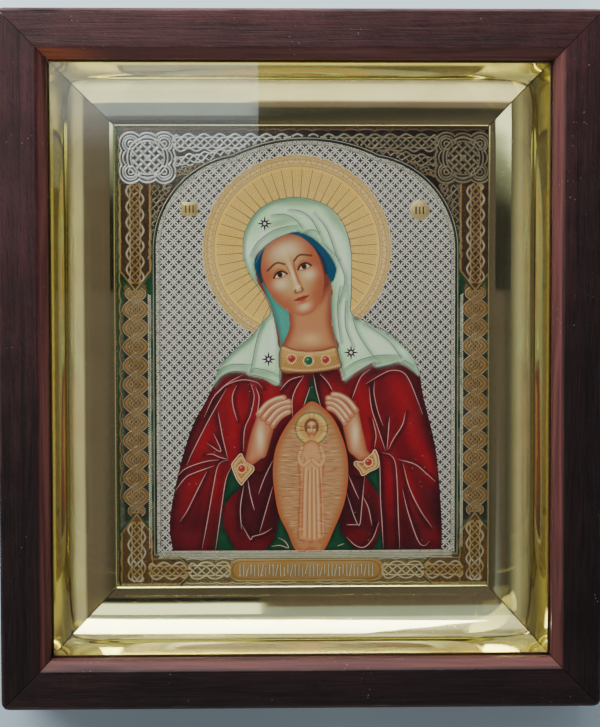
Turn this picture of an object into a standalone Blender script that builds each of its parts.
"""An icon panel in its glazed case, lying on its back with its picture facing up.

Four mitred rails of stained pine hold a pane of glass under their lip. Behind the glass, four mitred
strips of gilt card curve down like a cove to the icon: an embossed foil print on a fibreboard block.
A thin panel closes the back. +X is the picture's right, +Y its top, and the case's back lies at z = 0.
Lengths are in metres. A height is a distance from the case's back, and an inset is a distance inwards
from the case's outer side.
"""

import math

import bmesh
import bpy
from mathutils import Vector
from mathutils.geometry import delaunay_2d_cdt

MM = 0.001

# Case and its rails
CASE_WIDTH = 240 * MM
CASE_HEIGHT = 278 * MM
CASE_DEPTH = 42 * MM
RAIL_FACE = 19.3 * MM
CORNER_RADIUS = 3.0 * MM
FRONT_ARRIS = 1.8 * MM
SIGHT_CHAMFER = 4.0 * MM
LIP_THICKNESS = 9.0 * MM
LIP_OVERLAP = 6.0 * MM
RAIL_MITRE_GAP = 0.4 * MM
ARRIS_STEPS = 4
CORNER_STEPS = 6

# Clearance between pieces that touch
FIT = 0.3 * MM

# Glass, block and back
GLASS_THICKNESS = 2.0 * MM
BACK_THICKNESS = 3.0 * MM
BACK_RECESS = 1.0 * MM
BOARD_WIDTH = 172 * MM
BOARD_HEIGHT = 212 * MM
BOARD_THICKNESS = 7.0 * MM

# Window that the gilt strips leave, off the middle of the case as they were cut by eye
WINDOW_WIDTH = 153.6 * MM
WINDOW_HEIGHT = 190.0 * MM
WINDOW_SHIFT_X = 0.9 * MM
WINDOW_SHIFT_Y = 0.6 * MM

# Gilt strips
SLIP_THICKNESS = 0.8 * MM
SLIP_RIM_REVEAL = 0.7 * MM
SLIP_RIM_SLOPE = math.radians(70)
SLIP_MITRE_GAP = 0.4 * MM
COVE_STEPS = 10
BEAD_STEPS = 3

# Print
PRINT_WIDTH = 170 * MM
PRINT_HEIGHT = 210 * MM
PRINT_THICKNESS = 0.8 * MM
PRINT_SHIFT_X = 2.4 * MM
PRINT_SHIFT_Y = 0.6 * MM

# Heights of the embossing over the print's ground
BAND_RELIEF = 0.12 * MM
PANEL_RELIEF = 0.20 * MM
MOULDING_RELIEF = 0.28 * MM
STRAND_RELIEF = 0.32 * MM
CROSSING_RELIEF = 0.38 * MM
STROKE_RELIEF = 0.34 * MM

# Border of the print
BORDER_WIDTH = 152.8 * MM
BORDER_HEIGHT = 189.0 * MM
OPENING_WIDTH = 123.6 * MM
OPENING_BOTTOM = -81.0 * MM
SHOULDER_HEIGHT = 44.4 * MM
SHOULDER_RADIUS = 38.4 * MM
CUSP_X = 29.7 * MM
CUSP_Y = 82.3 * MM
ARCH_CREST = 89.2 * MM
MOULDING_WIDTH = 1.1 * MM
ARC_STEPS = 9

# Knotwork
CHAIN_X = 70.4 * MM
CHAIN_PITCH = 7.85 * MM
CHAIN_HALF_WIDTH = 5.0 * MM
PANEL_HALF_WIDTH = 5.9 * MM
PANEL_PITCH = 6.35 * MM
PANEL_CHAIN_HALF_WIDTH = 3.3 * MM
SIDE_PANEL_TIP = 28.7 * MM
CORNER_PANEL_TIP = -66.0 * MM
BOTTOM_ROW_Y = -88.6 * MM
BOTTOM_ROW_HALF_WIDTH = 4.6 * MM
CORNER_PANEL_REACH = 47.8 * MM
TOP_ROW_Y = 87.9 * MM
TOP_ROW_PITCH = 6.43 * MM
TOP_ROW_HALF_WIDTH = 3.2 * MM
STRAND_WIDTH = 1.2 * MM
CROSSING_MARGIN = 0.1 * MM
LOBE_SAMPLES = 4

# Corner rosettes
ROSETTE_X = 63.8 * MM
ROSETTE_Y = 82.0 * MM
ROSETTE_HALF_WIDTH = 10.8 * MM
ROSETTE_LOBE_RADIUS = 3.9 * MM
ROSETTE_RING_RADIUS = 8.0 * MM
ROSETTE_BAR_SPACING = 2.6 * MM
ROSETTE_BAR_COUNT = 3
LOBE_STEPS = 10
RING_STEPS = 20

# Halo and the head that covers it
HALO_X = -3.6 * MM
HALO_Y = 44.4 * MM
HALO_RADIUS = 39.0 * MM
HALO_RIM_WIDTH = 4.6 * MM
HALO_SCALLOP_COUNT = 30
HALO_RAY_COUNT = 24
HALO_RAY_WIDTH = 0.9 * MM
HALO_STEPS = 36
HEAD_WIDTH = 45.0 * MM
HEAD_TOP = 66.2 * MM
HEAD_STEPS = 16
NECK_WIDTH = 24.0 * MM
NECK_Y = 19.0 * MM
SHOULDER_WIDTH = 76.0 * MM
SHOULDER_Y = -4.0 * MM

# Title plate and the two small plates
TITLE_WIDTH = 64.8 * MM
TITLE_HEIGHT = 8.8 * MM
TITLE_STROKE_COUNT = 22
STROKE_HEIGHT = 4.2 * MM
STROKE_WIDTH = 0.9 * MM
SHORT_STROKE_RATIO = 0.7
SHORT_STROKE_STEP = 4
PLATE_X = 47.5 * MM
PLATE_Y = 60.9 * MM
PLATE_WIDTH = 6.8 * MM
PLATE_HEIGHT = 5.2 * MM
PLATE_RADIUS = 4.1 * MM
PLATE_STROKE_COUNT = 3
PLATE_STROKE_PITCH = 1.7 * MM
END_STEPS = 8

# Heights of the stack, from the back up
BACK_BOTTOM = BACK_RECESS
BACK_TOP = BACK_BOTTOM + BACK_THICKNESS
BOARD_BOTTOM = BACK_TOP + FIT
BOARD_TOP = BOARD_BOTTOM + BOARD_THICKNESS
PRINT_BOTTOM = BOARD_TOP + FIT
PRINT_GROUND = PRINT_BOTTOM + PRINT_THICKNESS
FOOT_BOTTOM = PRINT_GROUND + CROSSING_RELIEF + FIT
FOOT_TOP = FOOT_BOTTOM + SLIP_THICKNESS
LIP_BOTTOM = CASE_DEPTH - LIP_THICKNESS
GLASS_TOP = LIP_BOTTOM - FIT
GLASS_BOTTOM = GLASS_TOP - GLASS_THICKNESS
SLIP_TOP = GLASS_BOTTOM - FIT

# Insets from the case's outer sides
REBATE_INSET = RAIL_FACE - LIP_OVERLAP
LOOSE_INSET = REBATE_INSET + FIT
SLIP_RIM_INSET = RAIL_FACE + SLIP_RIM_REVEAL

SIDES = ("top", "bottom", "left", "right")


def clear_scene():
    for old in list(bpy.data.objects):
        bpy.data.objects.remove(old, do_unlink=True)


def make_material(name, colour, roughness, metallic=0.0, transmission=0.0):
    material = bpy.data.materials.new(name)
    material.use_nodes = True
    shader = material.node_tree.nodes["Principled BSDF"]
    shader.inputs["Base Color"].default_value = (*colour, 1.0)
    shader.inputs["Roughness"].default_value = roughness
    shader.inputs["Metallic"].default_value = metallic
    shader.inputs["Transmission Weight"].default_value = transmission
    return material


def add_solid(name, vertices, faces, material):
    """A closed mesh object whose faces point outwards."""
    mesh = bpy.data.meshes.new(name)
    shape = bmesh.new()
    corners = [shape.verts.new(vertex) for vertex in vertices]
    for face in faces:
        shape.faces.new([corners[index] for index in face])
    bmesh.ops.recalc_face_normals(shape, faces=shape.faces)
    bmesh.ops.triangulate(shape, faces=[face for face in shape.faces if len(face.verts) > 4])
    shape.to_mesh(mesh)
    shape.free()
    mesh.materials.append(material)
    solid = bpy.data.objects.new(name, mesh)
    bpy.context.scene.collection.objects.link(solid)
    return solid


def add_prism(name, outline, bottom, top, material):
    """An upright prism over a flat outline."""
    count = len(outline)
    vertices = [(x, y, bottom) for x, y in outline] + [(x, y, top) for x, y in outline]
    faces = [tuple(range(count)), tuple(range(count, 2 * count))]
    for index in range(count):
        after = (index + 1) % count
        faces.append((index, after, count + after, count + index))
    return add_solid(name, vertices, faces, material)


def rectangle(centre_x, centre_y, width, height):
    left, right = centre_x - width / 2, centre_x + width / 2
    low, high = centre_y - height / 2, centre_y + height / 2
    return [(left, low), (right, low), (right, high), (left, high)]


def arc(centre_x, centre_y, radius, start, end, steps):
    """Points along an arc, with both ends. Angles are in radians, anticlockwise from +X."""
    points = []
    for step in range(steps + 1):
        angle = start + (end - start) * step / steps
        points.append((centre_x + radius * math.cos(angle), centre_y + radius * math.sin(angle)))
    return points


def circle(centre_x, centre_y, radius, steps):
    return arc(centre_x, centre_y, radius, 0.0, 2 * math.pi, steps)[:-1]


def rounded_rectangle(width, height, radius, steps):
    points = []
    for quarter, (side_x, side_y) in enumerate(((1, 1), (-1, 1), (-1, -1), (1, -1))):
        centre_x = side_x * (width / 2 - radius)
        centre_y = side_y * (height / 2 - radius)
        start = quarter * math.pi / 2
        points += arc(centre_x, centre_y, radius, start, start + math.pi / 2, steps)
    return points


# Mitred strips


def add_mitred_frame(prefix, profiles, mitre_gap, material):
    """Four strips that meet in mitres. A profile is the closed section of one side's strip, as pairs
    of inset and height, and the four profiles have the same heights in the same order."""
    end_gap = mitre_gap / math.sqrt(2)
    half_width, half_height = CASE_WIDTH / 2, CASE_HEIGHT / 2
    place_x = {
        "left": [-half_width + inset for inset, _ in profiles["left"]],
        "right": [half_width - inset for inset, _ in profiles["right"]],
    }
    place_y = {
        "bottom": [-half_height + inset for inset, _ in profiles["bottom"]],
        "top": [half_height - inset for inset, _ in profiles["top"]],
    }
    strips = {}
    for side in SIDES:
        heights = [height for _, height in profiles[side]]
        count = len(heights)
        first, last = [], []
        for index, height in enumerate(heights):
            if side in place_y:
                y = place_y[side][index]
                first.append((place_x["left"][index] + end_gap, y, height))
                last.append((place_x["right"][index] - end_gap, y, height))
            else:
                x = place_x[side][index]
                first.append((x, place_y["bottom"][index] + end_gap, height))
                last.append((x, place_y["top"][index] - end_gap, height))
        faces = [tuple(range(count)), tuple(range(count, 2 * count))]
        for index in range(count):
            after = (index + 1) % count
            faces.append((index, after, count + after, count + index))
        strips[side] = add_solid(f"{prefix}_{side}", first + last, faces, material)
    return strips


def rail_profile():
    """The section of a rail: a rounded front arris, a chamfer to the sight edge and a rebate behind
    the lip."""
    arris = arc(FRONT_ARRIS, CASE_DEPTH - FRONT_ARRIS, FRONT_ARRIS, math.pi, math.pi / 2, ARRIS_STEPS)
    return [
        (0.0, 0.0),
        *arris,
        (RAIL_FACE - SIGHT_CHAMFER, CASE_DEPTH),
        (RAIL_FACE, CASE_DEPTH - SIGHT_CHAMFER),
        (RAIL_FACE, LIP_BOTTOM),
        (REBATE_INSET, LIP_BOTTOM),
        (REBATE_INSET, 0.0),
    ]


def make_rails():
    pine = make_material("stained_pine", (0.075, 0.026, 0.022), 0.5)
    profile = rail_profile()
    rails = add_mitred_frame("rail", dict.fromkeys(SIDES, profile), RAIL_MITRE_GAP, pine)
    outline = rounded_rectangle(CASE_WIDTH, CASE_HEIGHT, CORNER_RADIUS, CORNER_STEPS)
    cutter = add_prism("case_outline_cutter", outline, -CASE_DEPTH, 2 * CASE_DEPTH, pine)
    cutter.hide_render = True
    cutter.display_type = "WIRE"
    for rail in rails.values():
        rounding = rail.modifiers.new("corner_rounding", "BOOLEAN")
        rounding.operation = "INTERSECT"
        rounding.object = cutter


def cove_profile(foot_inset):
    """The section of a gilt strip: a flange under the glass, a cove that falls from a steep rim to a
    nearly flat foot, and a rounded nose. The cove is one circular arc from rim to foot."""
    run = foot_inset - SLIP_THICKNESS - SLIP_RIM_INSET
    drop = SLIP_TOP - FOOT_TOP
    chord_slope = math.atan2(drop, run)
    foot_slope = 2 * chord_slope - SLIP_RIM_SLOPE
    radius = math.hypot(run, drop) / (2 * math.sin((SLIP_RIM_SLOPE - foot_slope) / 2))
    centre_inset = SLIP_RIM_INSET + radius * math.sin(SLIP_RIM_SLOPE)
    centre_height = SLIP_TOP + radius * math.cos(SLIP_RIM_SLOPE)

    def along(distance, slope):
        return (centre_inset - distance * math.sin(slope), centre_height - distance * math.cos(slope))

    slopes = []
    for step in range(COVE_STEPS + 1):
        slopes.append(SLIP_RIM_SLOPE + (foot_slope - SLIP_RIM_SLOPE) * step / COVE_STEPS)
    face = [along(radius, slope) for slope in slopes]
    nose = arc(foot_inset - SLIP_THICKNESS, FOOT_BOTTOM, SLIP_THICKNESS, math.pi / 2, 0.0, BEAD_STEPS)
    flange_bottom = SLIP_TOP - SLIP_THICKNESS
    underside = [along(radius + SLIP_THICKNESS, slope) for slope in reversed(slopes[2:-1])]
    hidden = [point for point in underside if FOOT_BOTTOM < point[1] < flange_bottom]
    flange_edge = SLIP_RIM_INSET - SLIP_THICKNESS / math.sin(SLIP_RIM_SLOPE)
    flange = [(flange_edge, flange_bottom), (LOOSE_INSET, flange_bottom), (LOOSE_INSET, SLIP_TOP)]
    return [*face, *nose[1:], *hidden, *flange]


def stretched(profile, foot_inset, new_foot_inset):
    """The same section with its cove wider or narrower, so that its heights stay as they are."""
    ratio = (new_foot_inset - SLIP_RIM_INSET) / (foot_inset - SLIP_RIM_INSET)
    points = []
    for inset, height in profile:
        beyond_rim = max(inset - SLIP_RIM_INSET, 0.0)
        points.append((inset - beyond_rim + beyond_rim * ratio, height))
    return points


def make_slips():
    gilt = make_material("gilt_card", (0.80, 0.66, 0.30), 0.12, metallic=1.0)
    foot_insets = {
        "left": (CASE_WIDTH - WINDOW_WIDTH) / 2 + WINDOW_SHIFT_X,
        "right": (CASE_WIDTH - WINDOW_WIDTH) / 2 - WINDOW_SHIFT_X,
        "bottom": (CASE_HEIGHT - WINDOW_HEIGHT) / 2 + WINDOW_SHIFT_Y,
        "top": (CASE_HEIGHT - WINDOW_HEIGHT) / 2 - WINDOW_SHIFT_Y,
    }
    middle = sum(foot_insets.values()) / len(foot_insets)
    section = cove_profile(middle)
    profiles = {side: stretched(section, middle, inset) for side, inset in foot_insets.items()}
    add_mitred_frame("gold_slip", profiles, SLIP_MITRE_GAP, gilt)


# Flat pieces


def make_plates():
    glass = make_material("clear_glass", (1.0, 1.0, 1.0), 0.0, transmission=1.0)
    fibreboard = make_material("fibreboard", (0.36, 0.24, 0.14), 0.8)
    hardboard = make_material("hardboard", (0.24, 0.14, 0.08), 0.7)
    loose_width = CASE_WIDTH - 2 * LOOSE_INSET
    loose_height = CASE_HEIGHT - 2 * LOOSE_INSET
    loose = rectangle(0.0, 0.0, loose_width, loose_height)
    block = rectangle(PRINT_SHIFT_X, PRINT_SHIFT_Y, BOARD_WIDTH, BOARD_HEIGHT)
    add_prism("glass_pane", loose, GLASS_BOTTOM, GLASS_TOP, glass)
    add_prism("icon_board", block, BOARD_BOTTOM, BOARD_TOP, fibreboard)
    add_prism("back_panel", loose, BACK_BOTTOM, BACK_TOP, hardboard)


# Embossing of the print. Each outline has a relief, and a later outline covers an earlier one.
# Places on the print are measured from the middle of its border.


def arch_outline(inset):
    """The opening in the border: straight sides, round shoulders that meet the top arch in a cusp,
    and a low arch. A positive inset makes it smaller on every side."""
    half_width = OPENING_WIDTH / 2
    shoulder_x = half_width - SHOULDER_RADIUS
    radius = SHOULDER_RADIUS - inset
    cusp_angle = math.acos((CUSP_X - shoulder_x) / SHOULDER_RADIUS)
    shoulder = arc(shoulder_x, SHOULDER_HEIGHT, radius, 0.0, cusp_angle, ARC_STEPS)
    rise = ARCH_CREST - CUSP_Y
    top_radius = (CUSP_X**2 + rise**2) / (2 * rise)
    top_centre = ARCH_CREST - top_radius
    cusp_x = shoulder[-1][0]
    half_angle = math.asin(cusp_x / (top_radius - inset))
    quarter = math.pi / 2
    top = arc(0.0, top_centre, top_radius - inset, quarter - half_angle, quarter + half_angle, ARC_STEPS)
    right = [(half_width - inset, OPENING_BOTTOM + inset), *shoulder]
    left = [(-x, y) for x, y in reversed(right)]
    return right + top[1:-1] + left


def strand_outline(start, direction, length, amplitude, pitch, sign):
    """One strand of a two-strand plait along a straight line, as a closed outline of even width."""
    across = Vector((-direction.y, direction.x))
    lobes = max(1, round(length / pitch))
    samples = lobes * LOBE_SAMPLES
    near, far = [], []
    for sample in range(samples + 1):
        along = length * sample / samples
        phase = math.pi * sample / LOBE_SAMPLES
        offset = sign * amplitude * math.sin(phase)
        slope = sign * amplitude * math.pi * lobes / length * math.cos(phase)
        centre = start + direction * along + across * offset
        normal = (across - direction * slope).normalized() * STRAND_WIDTH / 2
        near.append(tuple(centre - normal))
        far.append(tuple(centre + normal))
    return near + far[::-1]


def crossing_outline(centre, direction, slope):
    """The stretch of the upper strand where it passes over the other one."""
    across = Vector((-direction.y, direction.x))
    along = (direction + across * slope).normalized()
    side = Vector((-along.y, along.x)) * (STRAND_WIDTH / 2 + CROSSING_MARGIN)
    reach = along * STRAND_WIDTH
    corners = (centre - reach - side, centre + reach - side, centre + reach + side, centre - reach + side)
    return [tuple(corner) for corner in corners]


def plait(start, end, half_width, pitch, passes_in_turn=False):
    """A two-strand plait from one point to another. In a narrow one the same strand always lies on
    top. In a wide one the strands pass over in turn."""
    start, end = Vector(start), Vector(end)
    length = (end - start).length
    direction = (end - start).normalized()
    amplitude = half_width - STRAND_WIDTH / 2
    lobes = max(1, round(length / pitch))
    shapes = []
    for sign, relief in ((1, MOULDING_RELIEF), (-1, STRAND_RELIEF)):
        outline = strand_outline(start, direction, length, amplitude, pitch, sign)
        shapes.append((outline, relief))
    steepness = amplitude * math.pi * lobes / length
    crossings = range(1, lobes) if passes_in_turn else ()
    for crossing in crossings:
        centre = start + direction * (length * crossing / lobes)
        sign = 1 if crossing % 2 else -1
        shapes.append((crossing_outline(centre, direction, sign * steepness), CROSSING_RELIEF))
    return shapes


def arrow_panel(centre_x, top, tip, half_width):
    """An upright panel with square shoulders at one end and an arrow tip at the other."""
    shoulder = tip + half_width * (1 if top > tip else -1)
    return [
        (centre_x - half_width, top),
        (centre_x - half_width, shoulder),
        (centre_x, tip),
        (centre_x + half_width, shoulder),
        (centre_x + half_width, top),
    ]


def corner_panel(side):
    """The L-shaped panel in a lower corner, with an arrow tip on each arm."""
    outer = CHAIN_X + PANEL_HALF_WIDTH
    inner = CHAIN_X - PANEL_HALF_WIDTH
    low = BOTTOM_ROW_Y - BOTTOM_ROW_HALF_WIDTH
    high = BOTTOM_ROW_Y + BOTTOM_ROW_HALF_WIDTH
    outline = [
        (outer, low),
        (outer, CORNER_PANEL_TIP - PANEL_HALF_WIDTH),
        (CHAIN_X, CORNER_PANEL_TIP),
        (inner, CORNER_PANEL_TIP - PANEL_HALF_WIDTH),
        (inner, high),
        (CORNER_PANEL_REACH + BOTTOM_ROW_HALF_WIDTH, high),
        (CORNER_PANEL_REACH, BOTTOM_ROW_Y),
        (CORNER_PANEL_REACH + BOTTOM_ROW_HALF_WIDTH, low),
    ]
    return [(side * x, y) for x, y in outline]


def side_shapes(side):
    """The knotwork of one upright border: an arrow panel above and a bare chain below it."""
    x = side * CHAIN_X
    panel_top = ROSETTE_Y - ROSETTE_HALF_WIDTH
    corner_top = CORNER_PANEL_TIP - STRAND_WIDTH
    shapes = [(arrow_panel(x, panel_top, SIDE_PANEL_TIP, PANEL_HALF_WIDTH), PANEL_RELIEF)]
    panel_chain_end = (x, SIDE_PANEL_TIP + 2 * STRAND_WIDTH)
    shapes += plait((x, panel_top - STRAND_WIDTH), panel_chain_end, PANEL_CHAIN_HALF_WIDTH, PANEL_PITCH)
    chain_start = (x, SIDE_PANEL_TIP - STRAND_WIDTH)
    chain_end = (x, corner_top + 2 * STRAND_WIDTH)
    shapes += plait(chain_start, chain_end, CHAIN_HALF_WIDTH, CHAIN_PITCH, passes_in_turn=True)
    shapes.append((corner_panel(side), PANEL_RELIEF))
    corner_chain_start = (x, CORNER_PANEL_TIP - 2 * STRAND_WIDTH)
    corner_chain_end = (x, BOTTOM_ROW_Y + BOTTOM_ROW_HALF_WIDTH)
    shapes += plait(corner_chain_start, corner_chain_end, PANEL_CHAIN_HALF_WIDTH, PANEL_PITCH)
    return shapes


def bottom_shapes(side):
    """The chains of one half of the bottom row: one in the corner panel, one up to the title."""
    outer = side * (CHAIN_X + PANEL_CHAIN_HALF_WIDTH)
    tip = side * CORNER_PANEL_REACH
    inside_tip = tip + side * 2 * STRAND_WIDTH
    shapes = plait((outer, BOTTOM_ROW_Y), (inside_tip, BOTTOM_ROW_Y), PANEL_CHAIN_HALF_WIDTH, PANEL_PITCH)
    title_end = side * (TITLE_WIDTH / 2 + STRAND_WIDTH)
    past_tip = tip - side * STRAND_WIDTH
    shapes += plait((past_tip, BOTTOM_ROW_Y), (title_end, BOTTOM_ROW_Y), PANEL_CHAIN_HALF_WIDTH, CHAIN_PITCH)
    return shapes


def diagonal_bar(centre_x, centre_y, offset, half_length, sign):
    """A straight strand at 45 degrees through the middle of a rosette."""
    along = Vector((1, sign)).normalized()
    across = Vector((-along.y, along.x))
    centre = Vector((centre_x, centre_y)) + across * offset
    side = across * STRAND_WIDTH / 2
    ends = (centre - along * half_length, centre + along * half_length)
    return [tuple(point) for point in (ends[0] - side, ends[1] - side, ends[1] + side, ends[0] + side)]


def rosette_shapes(side):
    """A corner rosette: a lobe on each corner, a ring, and a woven middle."""
    x, y = side * ROSETTE_X, ROSETTE_Y
    lobe_place = ROSETTE_HALF_WIDTH - ROSETTE_LOBE_RADIUS
    core = ROSETTE_RING_RADIUS + STRAND_WIDTH
    shapes = [(circle(x, y, core + STRAND_WIDTH, RING_STEPS), PANEL_RELIEF)]
    for side_x in (-1, 1):
        for side_y in (-1, 1):
            centre = (x + side_x * lobe_place, y + side_y * lobe_place)
            shapes.append((circle(*centre, ROSETTE_LOBE_RADIUS, LOBE_STEPS), STRAND_RELIEF))
            inner_radius = ROSETTE_LOBE_RADIUS - STRAND_WIDTH
            shapes.append((circle(*centre, inner_radius, LOBE_STEPS), PANEL_RELIEF))
    shapes.append((circle(x, y, ROSETTE_RING_RADIUS, RING_STEPS), CROSSING_RELIEF))
    shapes.append((circle(x, y, ROSETTE_RING_RADIUS - STRAND_WIDTH, RING_STEPS), BAND_RELIEF))
    for sign, relief in ((-1, MOULDING_RELIEF), (1, STRAND_RELIEF)):
        for bar in range(ROSETTE_BAR_COUNT):
            offset = (bar - (ROSETTE_BAR_COUNT - 1) / 2) * ROSETTE_BAR_SPACING
            reach = math.sqrt((ROSETTE_RING_RADIUS - STRAND_WIDTH / 2) ** 2 - offset**2)
            shapes.append((diagonal_bar(x, y, offset, reach, sign), relief))
    return shapes


def halo_shapes():
    """A scalloped rim, a row of rays inside it, and the plain ground that the head covers."""
    rim_inner = HALO_RADIUS - HALO_RIM_WIDTH
    scallops = []
    for scallop in range(2 * HALO_SCALLOP_COUNT):
        radius = HALO_RADIUS if scallop % 2 else HALO_RADIUS - STRAND_WIDTH / 2
        angle = math.pi * scallop / HALO_SCALLOP_COUNT
        scallops.append((HALO_X + radius * math.cos(angle), HALO_Y + radius * math.sin(angle)))
    shapes = [(scallops, STRAND_RELIEF)]
    shapes.append((circle(HALO_X, HALO_Y, HALO_RADIUS - STRAND_WIDTH, HALO_STEPS), BAND_RELIEF))
    shapes.append((circle(HALO_X, HALO_Y, rim_inner + STRAND_WIDTH, HALO_STEPS), PANEL_RELIEF))
    shapes.append((circle(HALO_X, HALO_Y, rim_inner, HALO_STEPS), 0.0))
    for ray in range(HALO_RAY_COUNT):
        angle = 2 * math.pi * ray / HALO_RAY_COUNT
        along = Vector((math.cos(angle), math.sin(angle)))
        across = Vector((-along.y, along.x)) * HALO_RAY_WIDTH / 2
        centre = Vector((HALO_X, HALO_Y))
        inner = centre + along * (HEAD_WIDTH / 2)
        outer = centre + along * (rim_inner - STRAND_WIDTH)
        corners = (inner, outer - across, outer + across)
        shapes.append(([tuple(corner) for corner in corners], PANEL_RELIEF))
    return shapes


def head_outline():
    """The veiled head, its neck and the shoulders under it, in front of the halo."""
    radius = HEAD_WIDTH / 2
    crown = arc(HALO_X, HEAD_TOP - radius, radius, 0.0, math.pi, HEAD_STEPS)
    left = [(HALO_X - NECK_WIDTH / 2, NECK_Y), (HALO_X - SHOULDER_WIDTH / 2, SHOULDER_Y)]
    right = [(HALO_X + SHOULDER_WIDTH / 2, SHOULDER_Y), (HALO_X + NECK_WIDTH / 2, NECK_Y)]
    return crown + left + right


def strokes(centre_x, centre_y, count, pitch):
    """A row of upright strokes, some of them short, that stands for an inscription."""
    shapes = []
    for stroke in range(count):
        x = centre_x + (stroke - (count - 1) / 2) * pitch
        short = stroke % SHORT_STROKE_STEP == SHORT_STROKE_STEP - 1
        height = STROKE_HEIGHT * (SHORT_STROKE_RATIO if short else 1.0)
        shapes.append((rectangle(x, centre_y, STROKE_WIDTH, height), STROKE_RELIEF))
    return shapes


def title_shapes():
    radius = TITLE_HEIGHT / 2
    reach = TITLE_WIDTH / 2 - radius
    right = arc(reach, BOTTOM_ROW_Y, radius, -math.pi / 2, math.pi / 2, END_STEPS)
    left = [(-x, y) for x, y in reversed(right)]
    pitch = 2 * reach / TITLE_STROKE_COUNT
    plate = (right + left, PANEL_RELIEF)
    return [plate, *strokes(0.0, BOTTOM_ROW_Y, TITLE_STROKE_COUNT, pitch)]


def plate_shapes():
    """The two small plates beside the halo, one square and one round."""
    square = rectangle(-PLATE_X, PLATE_Y, PLATE_WIDTH, PLATE_HEIGHT)
    disc = circle(PLATE_X, PLATE_Y, PLATE_RADIUS, LOBE_STEPS)
    shapes = [(square, PANEL_RELIEF), (disc, PANEL_RELIEF)]
    for side in (-1, 1):
        shapes += strokes(side * PLATE_X, PLATE_Y, PLATE_STROKE_COUNT, PLATE_STROKE_PITCH)
    return shapes


def embossing():
    shapes = [(rectangle(0.0, 0.0, BORDER_WIDTH, BORDER_HEIGHT), BAND_RELIEF)]
    top_end = ROSETTE_X - ROSETTE_HALF_WIDTH - STRAND_WIDTH
    shapes += plait((-top_end, TOP_ROW_Y), (top_end, TOP_ROW_Y), TOP_ROW_HALF_WIDTH, TOP_ROW_PITCH)
    for side in (-1, 1):
        shapes += side_shapes(side)
        shapes += bottom_shapes(side)
        shapes += rosette_shapes(side)
    shapes.append((arch_outline(-MOULDING_WIDTH), MOULDING_RELIEF))
    shapes.append((arch_outline(0.0), 0.0))
    shapes += halo_shapes()
    shapes.append((head_outline(), 0.0))
    shapes += title_shapes()
    shapes += plate_shapes()
    return shapes


def anticlockwise(outline):
    """The same outline, turned round if it runs clockwise."""
    doubled_area = 0.0
    for index, (x, y) in enumerate(outline):
        before_x, before_y = outline[index - 1]
        doubled_area += before_x * y - x * before_y
    return outline if doubled_area > 0 else outline[::-1]


def add_terraces(name, outline, bottom, ground, shapes, material):
    """A plate whose top steps up and down: each shape's face lies at its own relief over the ground,
    with upright walls between faces of different heights."""
    points = list(outline)
    loops = [list(range(len(points)))]
    for shape, _ in shapes:
        loops.append(list(range(len(points), len(points) + len(shape))))
        points += anticlockwise(shape)
    scale = 1 / MM
    scaled = [Vector((x * scale, y * scale)) for x, y in points]
    flat, _, triangles, _, _, inside = delaunay_2d_cdt(scaled, [], loops, 0, 1e-4, True)
    reliefs = [0.0] + [relief for _, relief in shapes]
    heights = [ground + reliefs[max(loops_around)] for loops_around in inside]

    levels = [set() for _ in flat]
    sides = {}
    for triangle, height in zip(triangles, heights):
        for place, corner in enumerate(triangle):
            levels[corner].add(height)
            sides[(corner, triangle[(place + 1) % 3])] = height
    vertices, number = [], {}
    for corner, (x, y) in enumerate(flat):
        for height in sorted(levels[corner]):
            number[(corner, height)] = len(vertices)
            vertices.append((x / scale, y / scale, height))
    faces = []
    for triangle, height in zip(triangles, heights):
        faces.append([number[(corner, height)] for corner in triangle])
    for (start, end), high in sides.items():
        low = sides.get((end, start), high)
        if low >= high:
            continue
        up = [number[(start, level)] for level in sorted(levels[start]) if low <= level <= high]
        down = [number[(end, level)] for level in sorted(levels[end], reverse=True) if low <= level <= high]
        faces.append(up + down)
    rim = [edge for edge in sides if (edge[1], edge[0]) not in sides]
    base = {start: len(vertices) + place for place, (start, _) in enumerate(rim)}
    for start, _ in rim:
        vertices.append((flat[start][0] / scale, flat[start][1] / scale, bottom))
    follow = dict(rim)
    underside = [rim[0][0]]
    while follow[underside[-1]] != rim[0][0]:
        underside.append(follow[underside[-1]])
    faces.append([base[corner] for corner in reversed(underside)])
    for start, end in rim:
        faces.append([number[(end, ground)], number[(start, ground)], base[start], base[end]])
    return add_solid(name, vertices, faces, material)


def make_print():
    foil = make_material("foil_print", (0.62, 0.50, 0.30), 0.3, metallic=0.8)
    outline = rectangle(0.0, 0.0, PRINT_WIDTH, PRINT_HEIGHT)
    sheet = add_terraces("icon_print", outline, PRINT_BOTTOM, PRINT_GROUND, embossing(), foil)
    for vertex in sheet.data.vertices:
        vertex.co.x += PRINT_SHIFT_X
        vertex.co.y += PRINT_SHIFT_Y


def main():
    clear_scene()
    make_rails()
    make_slips()
    make_plates()
    make_print()


main()
